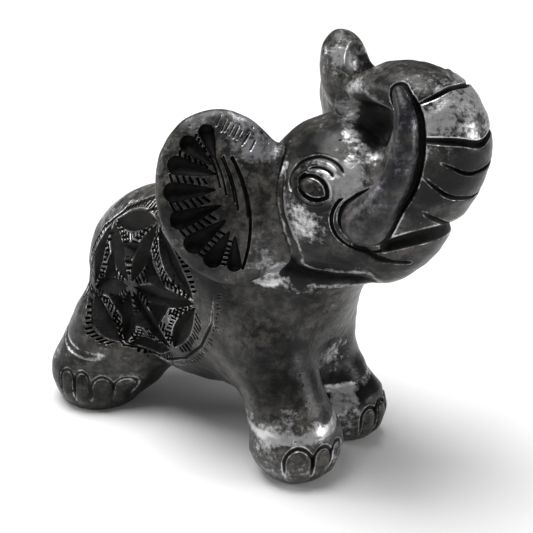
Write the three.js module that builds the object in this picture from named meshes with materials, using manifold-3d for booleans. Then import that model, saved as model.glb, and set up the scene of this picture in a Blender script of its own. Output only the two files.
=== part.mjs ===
// Small figurine of a standing elephant, trunk curled up onto its forehead, in burnished black clay.
// It is made as a potter makes it: two press-moulded half shells luted along the mid-plane, with
// ears, tusks, eyes and tail formed separately and luted on before firing.
// Millimetres, +Z up, +X towards the trunk, +Y to the animal's left. The origin is on the ground,
// under the middle of the bounding box.

import * as THREE from "three";
import { mergeVertices } from "three/addons/utils/BufferGeometryUtils.js";
import Module from "manifold-3d";

const wasm = await Module();
wasm.setup();

// ---- driving dimensions -------------------------------------------------------------------

const WALL = 5;            // thickness of the pressed clay wall
const SEAM_GAP = 0.15;     // each half shell stops this far from the mid-plane
const FIT_GAP = 0.3;       // gap left between a luted piece and the shell under it
const VENT_RADIUS = 4;     // firing vent through the belly
const VENT_X = -14;        // where the vent sits along the belly
const FAR = 150;           // longer than the whole figurine, for cutting boxes

const ROUND = 16;          // sides on a full round form
const RINGS = 9;           // rings from pole to pole on a full round form
const THIN = 10;           // sides on a tusk, an eye or the tail

const RIGHT = -1;          // sign of Y on the animal's right
const LEFT = 1;            // sign of Y on the animal's left

// ---- solids helper ------------------------------------------------------------------------

// A closed three.js geometry as a manifold solid.
function solid(geometry) {
  const bare = geometry.clone();
  bare.deleteAttribute("normal");
  bare.deleteAttribute("uv");
  const merged = mergeVertices(bare, 1e-4);
  return new wasm.Manifold(new wasm.Mesh({
    numProp: 3,
    vertProperties: Float32Array.from(merged.attributes.position.array),
    triVerts: Uint32Array.from(merged.index.array),
  }));
}

function joinAll(solids) {
  return solids.reduce((sum, next) => sum.add(next));
}

// A manifold solid as a three.js geometry.
function geometryOf(body) {
  const mesh = body.getMesh();
  const geometry = new THREE.BufferGeometry();
  geometry.setAttribute("position", new THREE.BufferAttribute(Float32Array.from(mesh.vertProperties), 3));
  geometry.setIndex(new THREE.BufferAttribute(Uint32Array.from(mesh.triVerts), 1));
  geometry.computeVertexNormals();
  return geometry;
}

// ---- the two kinds of form that the figurine is modelled from --------------------------------

// An egg: half sizes along its own axes, its front end raised by tilt degrees.
function egg([x, y, z], [a, b, c], tilt = 0, grow = 0, sides = ROUND) {
  const rings = Math.round(sides * RINGS / ROUND);
  const geometry = new THREE.SphereGeometry(1, sides, rings);
  geometry.scale(a + grow, b + grow, c + grow);
  geometry.rotateY(-THREE.MathUtils.degToRad(tilt));
  geometry.translate(x, y, z);
  return solid(geometry);
}

// A roll of clay along a curve. Each station is [x, y, z, half width along Y, half thickness].
function roll(stations, steps, grow = 0, sides = ROUND) {
  const path = new THREE.CatmullRomCurve3(stations.map(([x, y, z]) => new THREE.Vector3(x, y, z)));
  const sizes = new THREE.CatmullRomCurve3(stations.map(([, , , w, h]) => new THREE.Vector3(w, h, 0)));
  const geometry = new THREE.CylinderGeometry(1, 1, 1, sides, steps);
  const place = geometry.attributes.position;
  const point = new THREE.Vector3();
  for (let i = 0; i < place.count; i += 1) {
    point.fromBufferAttribute(place, i);
    const t = THREE.MathUtils.clamp(point.y + 0.5, 0, 1);
    const along = path.getTangent(t);
    const size = sizes.getPoint(t);
    const side = new THREE.Vector3(0, 1, 0).addScaledVector(along, -along.y).normalize();
    const up = new THREE.Vector3().crossVectors(side, along);
    const spot = path.getPoint(t);
    spot.addScaledVector(side, point.x * (size.x + grow));
    spot.addScaledVector(up, point.z * (size.y + grow));
    place.setXYZ(i, spot.x, spot.y, spot.z);
  }
  return solid(geometry);
}

// A round roll with a ball at each station, so that its ends are domed. Stations are [x, y, z, radius].
function limb(stations, steps, grow = 0, sides = ROUND) {
  const tube = roll(stations.map(([x, y, z, r]) => [x, y, z, r, r]), steps, grow, sides);
  const ends = [stations[0], stations[stations.length - 1]];
  return joinAll([tube, ...ends.map(([x, y, z, r]) => egg([x, y, z], [r, r, r], 0, grow, sides))]);
}

// ---- where the forms are --------------------------------------------------------------------

const TORSO = [
  { at: [-13, 0, 34.5], half: [28, 20, 22.5], tilt: 22 },
  { at: [4.5, 0, 34], half: [14, 13, 20], tilt: -10 },
  { at: [-31.5, 0, 31.9], half: [18.5, 17, 17], tilt: 10 },
  { at: [-14, 0, 26], half: [21, 17, 16], tilt: 0 },
  { at: [22, 0, 62.8], half: [17.5, 16.5, 15.8], tilt: 20 },
];

const NECK = [[5, 0, 42, 15], [12, 0, 50, 15], [19, 0, 57, 15]];

const FLANKS = [RIGHT, LEFT].flatMap((s) => [
  { at: [-35, s * 10.5, 15], half: [13, 11, 14.5], tilt: -10 },
  { at: [5, s * 8.5, 30], half: [11, 9, 16], tilt: 8 },
]);

const JAW = { at: [33.2, 0, 54.1], half: [12.5, 9.5, 7.5], tilt: 35 };

const LEGS = [
  [[-35, -13.5, 16, 10.2], [-37, -14.8, 11.5, 10.5], [-38.6, -15.9, 7.2, 11]],
  [[-35, 13.5, 16, 10.2], [-37, 14.8, 11.5, 10.5], [-38.6, 15.9, 7.2, 11]],
  [[10, -10, 28, 9], [15, -10.2, 16, 8], [18, -10.4, 8.5, 10.2]],
  [[5, 6.4, 28, 7.8], [11, 8.6, 16, 7], [16, 9.2, 7.8, 8.9]],
];

const TRUNK = [
  [30, 0, 59.5, 11, 10],
  [36.5, 0, 63, 10.5, 9.2],
  [41.7, 0, 69.8, 9.8, 9],
  [44.4, 0, 77, 9, 9],
  [43.4, 0, 83.2, 8.2, 7],
  [37.5, 0, 87, 7.2, 4.4],
  [29, 0, 86.4, 6, 3.3],
  [23.5, 0, 84.8, 3.8, 3.2],
];
const TRUNK_TIP = { at: [21.3, 0, 86.7], half: [4.9, 5.4, 8.6], tilt: 15 };
const TRUNK_WEB = { at: [32, 0, 79], half: [9, 3, 7], tilt: 0 };
const NOSTRIL = { at: [25.4, 0, 89.8], half: [3, 3.6, 4.4], tilt: 15 };

const TUSK = [
  [36.5, 12, 63.2, 4.7],
  [39.8, 11.8, 68, 3.4],
  [42.4, 11, 73, 2.8],
  [43.4, 10.2, 79, 2.5],
  [42.4, 9, 84.2, 2.1],
  [39.6, 7.6, 88.2, 1.2],
];

const EYE = { at: [24.6, 14.4, 68.1], half: [2.3, 1.8, 1.9] };

const TAIL = [
  [-46.8, 0, 38, 2.4],
  [-49.9, 0, 32.5, 2.2],
  [-51.1, 0, 27, 2.1],
  [-49.8, 0, 22, 2.5],
  [-47.9, 0, 17.8, 1.6],
];

const EAR = {
  root: [14, 13, 62.8],    // where the ear's front edge meets the head
  sweep: 46,               // degrees that the ear is swept back from straight out
  lean: 24,                // degrees that its top leans back
  reach: 9.5,              // from the root to the middle of the ear
  splay: 14,               // degrees that its top is turned outwards in its own plane
  half: [13.6, 17.6, 4],   // half width, half height and half thickness
  dish: 0.006,             // how fast it cups towards its rim
};

// ---- the whole figure, before it is cut into pieces --------------------------------------------

function eggs(forms, grow) {
  return forms.map(({ at, half, tilt }) => egg(at, half, tilt, grow));
}

function floorBox() {
  return solid(new THREE.BoxGeometry(FAR * 2, FAR * 2, FAR).translate(0, 0, -FAR / 2));
}

// Outer form of head, body, legs and trunk, grown by the given amount.
function outerForm(grow = 0) {
  const forms = [
    ...eggs([...TORSO, ...FLANKS, JAW, TRUNK_TIP, TRUNK_WEB], grow),
    roll(NECK.map(([x, y, z, r]) => [x, y, z, r, r]), 3, grow),
    ...LEGS.map((stations) => limb(stations, 3, grow)),
    roll(TRUNK, 14, grow),
  ];
  return joinAll(forms).subtract(egg(NOSTRIL.at, NOSTRIL.half, NOSTRIL.tilt, -grow)).subtract(floorBox());
}

// Hollow left inside by the pressed wall, with the vent that lets steam out in the kiln. The legs,
// haunches and trunk are solid clay.
function hollow() {
  const rooms = eggs(TORSO, -WALL);
  const throat = roll(NECK.map(([x, y, z, r]) => [x, y, z, r, r]), 3, -WALL);
  const height = 24;
  const vent = new THREE.CylinderGeometry(VENT_RADIUS, VENT_RADIUS, height, 20);
  vent.rotateX(Math.PI / 2);
  vent.translate(VENT_X, 0, height / 2);
  return joinAll([...rooms, throat, solid(vent)]);
}

// Everything on one side of the mid-plane.
function sideBox(sign) {
  const box = new THREE.BoxGeometry(FAR * 2, FAR, FAR * 2);
  return solid(box.translate(0, sign * (FAR / 2 + SEAM_GAP), 0));
}

// ---- the luted pieces ------------------------------------------------------------------------

// A flat egg of clay cupped forwards, swept back from the side of the head.
function earSolid(sign) {
  const geometry = new THREE.SphereGeometry(1, 24, 10).rotateX(Math.PI / 2);
  geometry.scale(...EAR.half);
  const place = geometry.attributes.position;
  for (let i = 0; i < place.count; i += 1) {
    const u = place.getX(i);
    place.setZ(i, place.getZ(i) + EAR.dish * u * u);
  }
  geometry.rotateZ(-THREE.MathUtils.degToRad(EAR.splay));
  geometry.translate(EAR.reach, 0, 0);
  const sweep = THREE.MathUtils.degToRad(EAR.sweep);
  const lean = THREE.MathUtils.degToRad(EAR.lean);
  const out = new THREE.Vector3(-Math.sin(sweep), Math.cos(sweep), 0);
  const rise = new THREE.Vector3(-Math.sin(lean), 0, Math.cos(lean));
  const face = new THREE.Vector3().crossVectors(out, rise).normalize();
  rise.crossVectors(face, out);
  const turn = new THREE.Matrix4().makeBasis(out, rise, face).setPosition(...EAR.root);
  geometry.applyMatrix4(turn);
  const ear = solid(geometry);
  return sign === LEFT ? ear : ear.mirror([0, 1, 0]);
}

function tuskSolid(sign) {
  return limb(TUSK.map(([x, y, z, r]) => [x, sign * y, z, r]), 9, 0, THIN);
}

function eyeSolid(sign) {
  const [x, y, z] = EYE.at;
  return egg([x, sign * y, z], EYE.half, 0, 0, THIN);
}

function tailSolid() {
  return limb(TAIL, 7, 0, THIN);
}

// ---- clay and assembly ------------------------------------------------------------------------

const burnishedClay = new THREE.MeshStandardMaterial({ color: 0x35343a, roughness: 0.35, metalness: 0.4 });
const carvedClay = new THREE.MeshStandardMaterial({ color: 0x242327, roughness: 0.6, metalness: 0.1 });
const silverClay = new THREE.MeshStandardMaterial({ color: 0x55545c, roughness: 0.25, metalness: 0.6 });

function named(name, body, material) {
  const mesh = new THREE.Mesh(geometryOf(body), material);
  mesh.name = name;
  return mesh;
}

const figure = outerForm();
const cavity = hollow();
const clearance = outerForm(FIT_GAP);

const elephant = new THREE.Group();
elephant.name = "elephant_figurine";

for (const [side, sign] of [["right", RIGHT], ["left", LEFT]]) {
  const shell = figure.subtract(cavity).intersect(sideBox(sign));
  elephant.add(named(`shell_${side}`, shell, burnishedClay));
  elephant.add(named(`ear_${side}`, earSolid(sign).subtract(clearance), carvedClay));
  elephant.add(named(`tusk_${side}`, tuskSolid(sign).subtract(clearance), silverClay));
  elephant.add(named(`eye_${side}`, eyeSolid(sign).subtract(clearance), carvedClay));
}
elephant.add(named("tail", tailSolid().subtract(clearance), burnishedClay));

export default elephant;
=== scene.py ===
# %% [markdown]
# # A carved elephant in burnished black clay
#
# A palm-sized pottery elephant: two hollow half shells pressed in a mould and luted together, with
# leaf ears, rolled tusks, pellet eyes and a tail added in soft clay. The maker burnishes the dry skin
# with a stone, cuts petals and gouges into it with a knife, and fires it with little air, which turns
# it black. Burnished skin comes out silvery, and cut clay stays matt.
#
# The plan: describe the soft forms as distance fields, in millimetres, turn each separate piece of
# clay into one closed mesh, then cut the carving into that mesh point by point.

# %% Load the frame
import math

import bmesh
import bpy
import numpy as np
import openvdb
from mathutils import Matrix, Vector


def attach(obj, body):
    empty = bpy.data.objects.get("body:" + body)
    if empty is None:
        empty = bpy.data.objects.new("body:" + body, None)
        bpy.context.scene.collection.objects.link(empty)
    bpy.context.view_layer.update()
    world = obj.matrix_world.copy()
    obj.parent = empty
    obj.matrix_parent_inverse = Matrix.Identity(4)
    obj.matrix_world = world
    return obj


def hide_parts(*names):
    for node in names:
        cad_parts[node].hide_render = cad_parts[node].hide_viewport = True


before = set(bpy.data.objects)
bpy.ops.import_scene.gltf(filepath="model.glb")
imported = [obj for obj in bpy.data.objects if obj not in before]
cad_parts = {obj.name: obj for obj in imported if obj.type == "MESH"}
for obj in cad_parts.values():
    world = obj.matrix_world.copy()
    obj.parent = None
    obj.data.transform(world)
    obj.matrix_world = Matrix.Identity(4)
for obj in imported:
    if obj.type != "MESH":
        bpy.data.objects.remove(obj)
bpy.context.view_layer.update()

# %% [markdown]
# ## Camera
#
# The figure is seen from its right front, from a little above, with a long lens so that the legs
# don't look splayed. The camera comes first because every later choice is judged through it.

# %% Camera
MM = 0.001
AIM = Vector((0.6, -0.2, 39.4)) * MM
CAMERA_TURN = math.radians(42)
CAMERA_RISE = math.radians(24)
CAMERA_AWAY = 300 * MM
LENS = 93.2
SENSOR = 36

camera_data = bpy.data.cameras.new("camera")
camera_data.lens = LENS
camera_data.sensor_width = SENSOR
camera = bpy.data.objects.new("camera", camera_data)
towards_camera = Vector((
    math.sin(CAMERA_TURN) * math.cos(CAMERA_RISE),
    -math.cos(CAMERA_TURN) * math.cos(CAMERA_RISE),
    math.sin(CAMERA_RISE),
))
camera.location = AIM + towards_camera * CAMERA_AWAY
camera.rotation_euler = towards_camera.to_track_quat("Z", "Y").to_euler()
bpy.context.scene.collection.objects.link(camera)
bpy.context.scene.camera = camera
print("camera at, mm:", [round(v / MM) for v in camera.location])

# %% [markdown]
# ## Soft forms as distance fields
#
# A potter's forms have no edges: an egg pushed into another egg leaves a smooth hollow, not a line.
# A distance field says how far each point is from a surface, negative inside, and two fields can be
# blended over a chosen width. That gives the pinched, thumb-smoothed joins of clay, which a plain
# boolean join can't.

# %% Eggs
f32 = np.float32


def tilt_matrix(degrees):
    """Raises the front (+X) end of a form."""
    a = math.radians(-degrees)
    return np.array([[math.cos(a), 0, math.sin(a)], [0, 1, 0], [-math.sin(a), 0, math.cos(a)]], f32)


def oval_distance(k0, k1):
    """About how far off an oval is, from its scaled radius k0 and that radius's steepness k1."""
    return k0 * (k0 - 1) / np.maximum(k1, 1e-6)


def egg(p, at, half, tilt=0.0):
    q = p - np.array(at, f32)
    if tilt:
        q = q @ tilt_matrix(tilt)
    half = np.array(half, f32)
    k0 = np.sqrt(((q / half) ** 2).sum(-1))
    k1 = np.sqrt(((q / (half * half)) ** 2).sum(-1))
    return oval_distance(k0, k1)


four_off = np.array([[14, 0, 0]], f32)
print("4 mm off the side of an egg, measured as:", egg(four_off, (0, 0, 0), (10, 6, 6)))

# %% [markdown]
# ## Joining and scooping
#
# Joining two lumps of clay takes the nearer surface and rounds the crease between them over a chosen
# width. Scooping is the same thing done to the empty side. Most of the animal is alike on both sides,
# so its forms are written for the right side only and the left is folded onto it.


# %% Blends and the fold
def blend(a, b, width):
    h = np.clip(0.5 + 0.5 * (b - a) / width, 0, 1)
    return b + (a - b) * h - width * h * (1 - h)


def carve_out(a, b, width):
    return -blend(-a, b, width)


def to_right(p):
    """Folds both sides of the animal onto its right side, where y is negative."""
    q = p.copy()
    q[..., 1] = -np.abs(q[..., 1])
    return q


print("two surfaces 1 mm off, blended over 4 mm, meet at:", blend(1.0, 1.0, 4.0))

# %% [markdown]
# ## Rolls of clay
#
# Legs, tusks and tail are rolled between the palms, so they are round and taper smoothly. A roll runs
# through a few stations, each with its own radius. The trunk is a roll that was pressed flat.


# %% Rolls
def curve_through(stations, count):
    """Rows of numbers, smoothly interpolated through the stations."""
    s = np.array(stations, float)
    ends = np.vstack([2 * s[0] - s[1], s, 2 * s[-1] - s[-2]])
    rows = []
    for u in np.linspace(0, len(s) - 1, count):
        i = min(int(u), len(s) - 2)
        t = u - i
        a, b, c, d = ends[i:i + 4]
        rows.append(0.5 * (2 * b + (c - a) * t + (2 * a - 5 * b + 4 * c - d) * t * t
                           + (3 * b - a - 3 * c + d) * t ** 3))
    return np.array(rows)


def roll(p, stations, width=0.0):
    """A round roll of clay. Each station is x, y, z, radius."""
    d = None
    for a, b in zip(stations[:-1], stations[1:]):
        start = np.array(a[:3], f32)
        along = np.array(b[:3], f32) - start
        t = np.clip(((p - start) @ along) / float(along @ along), 0, 1)
        off = p - start - t[..., None] * along
        part = np.sqrt((off ** 2).sum(-1)) - (a[3] + (b[3] - a[3]) * t)
        if d is None:
            d = part
        elif width:
            d = blend(d, part, width)
        else:
            d = np.minimum(d, part)
    return d


def flat_roll(p, stations, width=1.2):
    """A roll in the mid-plane. Each station is x, z, half width, half thickness."""
    d = None
    side = np.abs(p[..., 1])
    for a, b in zip(stations[:-1], stations[1:]):
        start = np.array(a[:2], f32)
        along = np.array(b[:2], f32) - start
        q = p[..., [0, 2]]
        t = np.clip(((q - start) @ along) / float(along @ along), 0, 1)
        off = q - start - t[..., None] * along
        out = np.sqrt((off ** 2).sum(-1))
        w = a[2] + (b[2] - a[2]) * t
        h = a[3] + (b[3] - a[3]) * t
        k0 = np.sqrt((out / h) ** 2 + (side / w) ** 2)
        k1 = np.sqrt((out / h ** 2) ** 2 + (side / w ** 2) ** 2)
        part = oval_distance(k0, k1)
        d = part if d is None else blend(d, part, width)
    return d


print("a bend through 3 stations, as", len(curve_through([(0, 0), (4, 3), (9, 3)], 9)), "points")

# %% [markdown]
# ## Body, head and trunk
#
# Real half shells are pressed from a fat, simple model: a barrel body rising to the shoulders, stub
# legs with swollen feet, and a round head pushed up on a thick neck. The trunk arches up and back and
# its flared tip rests on the forehead, so nothing thin can snap off, and a web of clay fills the
# middle of the arch. The sizes follow the frame's shells, with a wider nostril and a thinner web.

# %% Barrel, neck and head
WALL = 5.0
BARREL = ((-13, 0, 34.5), (28, 20, 22.5), 22)
CHEST = ((4.5, 0, 34), (14, 13, 20), -10)
RUMP = ((-31.5, 0, 31.9), (18.5, 17, 17), 10)
BELLY = ((-14, 0, 26), (21, 17, 16), 0)
HEAD = ((22, 0, 62.8), (17.5, 16.5, 15.8), 20)
NECK = [(5, 0, 42, 15), (19, 0, 57, 15)]


def lump(p, form, grow=0.0):
    """One of the eggs above, grown or shrunk all round by some millimetres."""
    at, half, tilt = form
    return egg(p, at, np.array(half) + grow, tilt)


def barrel(p, grow=0.0):
    d = lump(p, BARREL, grow)
    d = blend(d, lump(p, CHEST, grow), 10)
    d = blend(d, lump(p, RUMP, grow), 8)
    return blend(d, lump(p, BELLY, grow), 6)


def neck_and_head(p, d, grow=0.0):
    d = blend(d, roll(p, [(x, y, z, r + grow) for x, y, z, r in NECK]), 8)
    return blend(d, lump(p, HEAD, grow), 3)


print("barrel, mm:", [2 * v for v in BARREL[1]], "head, mm:", [2 * v for v in HEAD[1]])

# %% [markdown]
# ## Legs, jaw and trunk
#
# Legs, jaw and trunk are pressed in the same mould but stay solid. The left foreleg stands a little
# further back and further in than the right one, so the two are written out separately.

# %% Legs, jaw and trunk
HAUNCH = ((-35, -10.5, 15), (13, 11, 14.5), -10)
SHOULDER = ((5, -8.5, 30), (11, 9, 16), 8)
JAW = ((33.2, 0, 54.1), (12.5, 9.5, 7.5), 35)
TRUNK_TIP = ((21.3, 0, 86.7), (4.9, 5.4, 8.6), 15)
WEB = ((32, 0, 79), (9, 2, 7), 0)
NOSTRIL = ((26.2, 0, 89.1), (3.9, 4.3, 5.5), 15)
TRUNK = curve_through([
    (30, 59.5, 11, 10), (36.5, 63, 10.5, 9.2), (41.7, 69.8, 9.8, 9), (44.4, 77, 9, 9),
    (43.4, 83.2, 8.2, 7), (37.5, 87, 7.2, 4.4), (29, 86.4, 6, 3.3), (23.5, 84.8, 3.8, 3.2),
], 26)
REAR_LEG = [(-35, -13.5, 16, 10.2), (-38.6, -15.9, 7.2, 11)]
FRONT_LEG_RIGHT = [(10, -10, 28, 9), (15, -10.2, 16, 8), (18, -10.4, 8.5, 10.2)]
FRONT_LEG_LEFT = [(5, 6.4, 28, 7.8), (11, 8.6, 16, 7), (16, 9.2, 7.8, 8.9)]


def figure(p):
    """Outer form of body, legs, head and trunk."""
    r = to_right(p)
    d = barrel(p)
    d = blend(d, lump(r, HAUNCH), 5)
    d = blend(d, roll(r, REAR_LEG), 3)
    d = blend(d, lump(r, SHOULDER), 6)
    d = blend(d, roll(p, FRONT_LEG_RIGHT, 3), 4)
    d = blend(d, roll(p, FRONT_LEG_LEFT, 3), 4)
    d = neck_and_head(p, d)
    d = blend(d, lump(p, JAW), 3)
    d = blend(d, flat_roll(p, TRUNK), 3)
    d = blend(d, lump(p, TRUNK_TIP), 2)
    d = blend(d, lump(p, WEB), 2)
    d = carve_out(d, lump(p, NOSTRIL), 0.7)
    return np.maximum(d, -p[..., 2])


print("trunk thickness, mm, from root to tip:", [round(2 * float(row[3]), 1) for row in TRUNK[::5]])

# %% [markdown]
# ## Hollow and vent
#
# Solid clay this thick could burst in the kiln, so the body and head are pressed as a wall and left
# hollow, with a vent in the belly that lets the steam out.

# %% Hollow and vent
VENT_X = -14
VENT_RADIUS = 4
VENT_TOP = 24


def hollow(p):
    d = neck_and_head(p, barrel(p, -WALL), -WALL)
    vent = np.sqrt((p[..., 0] - VENT_X) ** 2 + p[..., 1] ** 2) - VENT_RADIUS
    vent = np.maximum(vent, p[..., 2] - VENT_TOP)
    return blend(d, vent, 0.6)


def shell(p):
    return np.maximum(figure(p), -hollow(p))


print("vent, mm across:", 2 * VENT_RADIUS, "wall, mm:", WALL)

# %% [markdown]
# ## Ears
#
# Each ear is a leaf of clay laid against the head and swept back, cupped a little forwards, with its
# root thumbed smooth into the neck. It could be modelled flat and bent, but three axes of its own,
# out, up and in front, do the same and also give the carving a plane to be drawn on.

# %% Ear leaf
EAR_ROOT = np.array([14, -13, 62.8], f32)
EAR_SWEEP = math.radians(46)
EAR_LEAN = math.radians(24)
EAR_REACH = 9.5
EAR_SPLAY = math.radians(14)
EAR_HALF = (13.6, 17.6, 4.0)
EAR_DISH = 0.006

ear_out = np.array([-math.sin(EAR_SWEEP), -math.cos(EAR_SWEEP), 0])
ear_rise = np.array([-math.sin(EAR_LEAN), 0, math.cos(EAR_LEAN)])
ear_face = np.cross(ear_rise, ear_out)
ear_face = ear_face / np.linalg.norm(ear_face)
ear_rise = np.cross(ear_out, ear_face)
EAR_AXES = np.stack([ear_out, ear_rise, ear_face], 1).astype(f32)


def on_ear(r):
    """Out, up and in front of the right ear's own plane, measured from its middle."""
    q = (r - EAR_ROOT) @ EAR_AXES
    return q[..., 0] - EAR_REACH, q[..., 1], q[..., 2]


def ear_leaf(r):
    u, v, w = on_ear(r)
    across = u * math.cos(EAR_SPLAY) - v * math.sin(EAR_SPLAY)
    up = u * math.sin(EAR_SPLAY) + v * math.cos(EAR_SPLAY)
    out = w - EAR_DISH * across * across
    a, b, c = EAR_HALF
    k0 = np.sqrt((across / a) ** 2 + (up / b) ** 2 + (out / c) ** 2)
    k1 = np.sqrt((across / a ** 2) ** 2 + (up / b ** 2) ** 2 + (out / c ** 2) ** 2)
    return oval_distance(k0, k1)


print("ear leaf, mm:", [2 * v for v in EAR_HALF])

# %% [markdown]
# ## Tusks, eyes, tail and the luting
#
# The tusks and the tail are tapered rolls, the eyes small pellets. Each is stuck on with slip: the
# join is smoothed onto the shell, but its hem keeps some thickness, and a hair of slip stays between.

# %% Tusks, eyes, tail and the luting
TUSK = curve_through([
    (36.5, -12, 63.2, 4.7), (39.8, -11.8, 68, 3.4), (42.4, -11, 73, 2.8),
    (43.4, -10.2, 79, 2.5), (42.4, -9, 84.2, 2.1), (39.6, -7.6, 88.2, 1.2),
], 20)
EYE_AT = (24.6, -14.4, 68.1)
EYE_HALF = (2.3, 1.8, 1.9)
TAIL = curve_through([
    (-46.8, 0, 38, 2.4), (-49.9, 0, 32.5, 2.2), (-51.1, 0, 27, 2.1), (-49.8, 0, 22, 2.5),
    (-47.9, 0, 17.8, 1.6),
], 14)
SLIP_GAP = 0.1


def luted(p, piece, width, hem):
    """A piece smoothed onto the shell, kept outside it, with a hem that isn't thinned to nothing."""
    body = figure(p)
    joined = blend(body, piece, width)
    hemmed = carve_out(joined, hem - piece, 0.5)
    return carve_out(hemmed, body - SLIP_GAP, 0.12)


def ear(p):
    return luted(p, ear_leaf(to_right(p)), 3.4, 1.6)


def tusk(p):
    return luted(p, roll(to_right(p), TUSK), 0.9, 0.3)


def eye(p):
    return luted(p, egg(to_right(p), EYE_AT, EYE_HALF), 0.2, 0.1)


def tail(p):
    return luted(p, roll(p, TAIL, 0.5), 1.5, 0.6)


print("tusk, mm across, from socket to tip:", [round(2 * float(row[3]), 1) for row in TUSK[::6]])

# %% [markdown]
# ## From field to mesh
#
# A field is sampled on a grid and the grid is turned into a mesh. Only the blocks near the surface are
# worked out finely, since the rest never shows.

# %% Sampling
BLOCK = 4
NEAR = 1.9
PART = 4000


def sample_near_surface(field, low, high, step):
    blocks = np.ceil((high - low) / (step * BLOCK)).astype(int) + 1
    axes = [low[k] + (np.arange(blocks[k]) * BLOCK + (BLOCK - 1) / 2) * step for k in range(3)]
    centres = np.stack(np.meshgrid(*axes, indexing="ij"), -1).astype(f32)
    rough = field(centres.reshape(-1, 3))
    near = np.nonzero(np.abs(rough) < step * BLOCK * NEAR)[0]
    inner = (np.stack(np.meshgrid(*[np.arange(BLOCK)] * 3, indexing="ij"), -1).reshape(-1, 3)
             - (BLOCK - 1) / 2) * step
    values = np.repeat(rough[:, None], BLOCK ** 3, 1)
    flat = centres.reshape(-1, 3)
    for part in np.array_split(near, max(1, len(near) // PART)):
        points = (flat[part][:, None, :] + inner[None]).astype(f32)
        values[part] = field(points.reshape(-1, 3)).reshape(len(part), -1)
    grid = values.reshape(*blocks, BLOCK, BLOCK, BLOCK).transpose(0, 3, 1, 4, 2, 5)
    return grid.reshape(*(blocks * BLOCK))


def ball(p):
    return egg(p, (0, 0, 0), (6, 6, 6))


trial = sample_near_surface(ball, np.full(3, -7.0), np.full(3, 7.0), 0.5)
print("a 12 mm ball sampled every 0.5 mm:", trial.shape, "values")

# %% [markdown]
# ## Settling onto the surface
#
# Straight from the grid, the mesh shows the grid's steps as ripples in the burnished skin. So every
# point is slid along the field's slope, twice, which brings it almost exactly onto the surface.


# %% Settling
def slope(field, p, reach=0.02):
    g = np.empty_like(p)
    for k in range(3):
        shift = np.zeros(3, f32)
        shift[k] = reach
        g[:, k] = field(p + shift) - field(p - shift)
    return g / (2 * reach)


def settle(field, p, rounds=2):
    """Slides points along the slope onto the surface."""
    for _ in range(rounds):
        g = slope(field, p)
        steep = np.maximum((g ** 2).sum(-1, keepdims=True), 0.25)
        move = field(p)[:, None] * g / steep
        p = p - np.clip(move, -0.4, 0.4)
    return p.astype(f32)


def triangles_of(field, low, high, step):
    low, high = np.array(low, float), np.array(high, float)
    grid = openvdb.FloatGrid()
    grid.copyFromArray(np.ascontiguousarray(sample_near_surface(field, low, high, step), f32))
    points, quads = grid.convertToQuads(isovalue=0.0)
    points = (low + points * step).astype(f32)
    tris = np.concatenate([quads[:, [0, 1, 2]], quads[:, [0, 2, 3]]]).astype(np.int64)
    a, b, c = (points[tris[:, k]].astype(float) for k in range(3))
    if (a * np.cross(b, c)).sum() < 0:
        tris = tris[:, ::-1]
    return settle(field, points), tris


ball_points, ball_tris = triangles_of(ball, (-7, -7, -7), (7, 7, 7), 0.5)
print("furthest point off the ball, mm:", round(float(np.abs(ball(ball_points)).max()), 4))

# %% [markdown]
# ## Finer where it is carved
#
# Fine triangles everywhere would be far too many. Every edge whose two ends lie in a carved region is
# split in the middle instead, and the triangles beside it are split to match, so no gap opens.


# %% Splitting
def split_where(field, points, tris, wanted):
    """Splits every edge whose two ends are wanted, and settles the new points."""
    sides = np.sort(np.concatenate([tris[:, [0, 1]], tris[:, [1, 2]], tris[:, [2, 0]]]), 1)
    edges, back = np.unique(sides, axis=0, return_inverse=True)
    back = back.reshape(3, -1)
    cut = wanted[edges[:, 0]] & wanted[edges[:, 1]]
    middle = np.full(len(edges), -1, np.int64)
    middle[cut] = len(points) + np.arange(cut.sum())
    fresh = points[edges[cut]].mean(1).astype(f32)
    points = np.concatenate([points, settle(field, fresh, 1)])
    m = middle[back].T
    whole = tris[(m < 0).all(1)]
    t4, m4 = tris[(m >= 0).all(1)], m[(m >= 0).all(1)]
    done = [
        whole,
        np.stack([t4[:, 0], m4[:, 0], m4[:, 2]], 1),
        np.stack([m4[:, 0], t4[:, 1], m4[:, 1]], 1),
        np.stack([m4[:, 2], m4[:, 1], t4[:, 2]], 1),
        np.stack([m4[:, 0], m4[:, 1], m4[:, 2]], 1),
    ]
    for k in range(3):
        one = (m[:, k] >= 0) & (m[:, (k + 1) % 3] < 0) & (m[:, (k + 2) % 3] < 0)
        t2 = np.roll(tris[one], -k, axis=1)
        mid = m[one, k]
        done.append(np.stack([t2[:, 0], mid, t2[:, 2]], 1))
        done.append(np.stack([mid, t2[:, 1], t2[:, 2]], 1))
    return points, np.concatenate(done)


ball_points, ball_tris = split_where(ball, ball_points, ball_tris, ball_points[:, 2] > 0)
print("triangles on the ball after splitting its top half:", len(ball_tris))

# %% [markdown]
# ## Knife work
#
# All the carving is shallow, so each kind of cut is a depth, in millimetres, worked out from where a
# point lies. The simplest are a straight nick and a line. A maker never repeats a cut exactly, so each
# one gets a small steady wobble from its number.


# %% Nicks and lines
def wobble(number, amount):
    """A fixed, hand-like unevenness between -amount and +amount."""
    return amount * (2 * np.modf(np.abs(np.sin(number * 12.9898) * 43758.5453))[0] - 1)


def along_and_off(u, v, a, b):
    """How far along a line from a to b, from 0 to 1, and how far to its left."""
    a, b = np.array(a, float), np.array(b, float)
    length = math.dist(a, b)
    d = (b - a) / length
    along = ((u - a[0]) * d[0] + (v - a[1]) * d[1]) / length
    off = (v - a[1]) * d[0] - (u - a[0]) * d[1]
    return along, off, length


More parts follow.
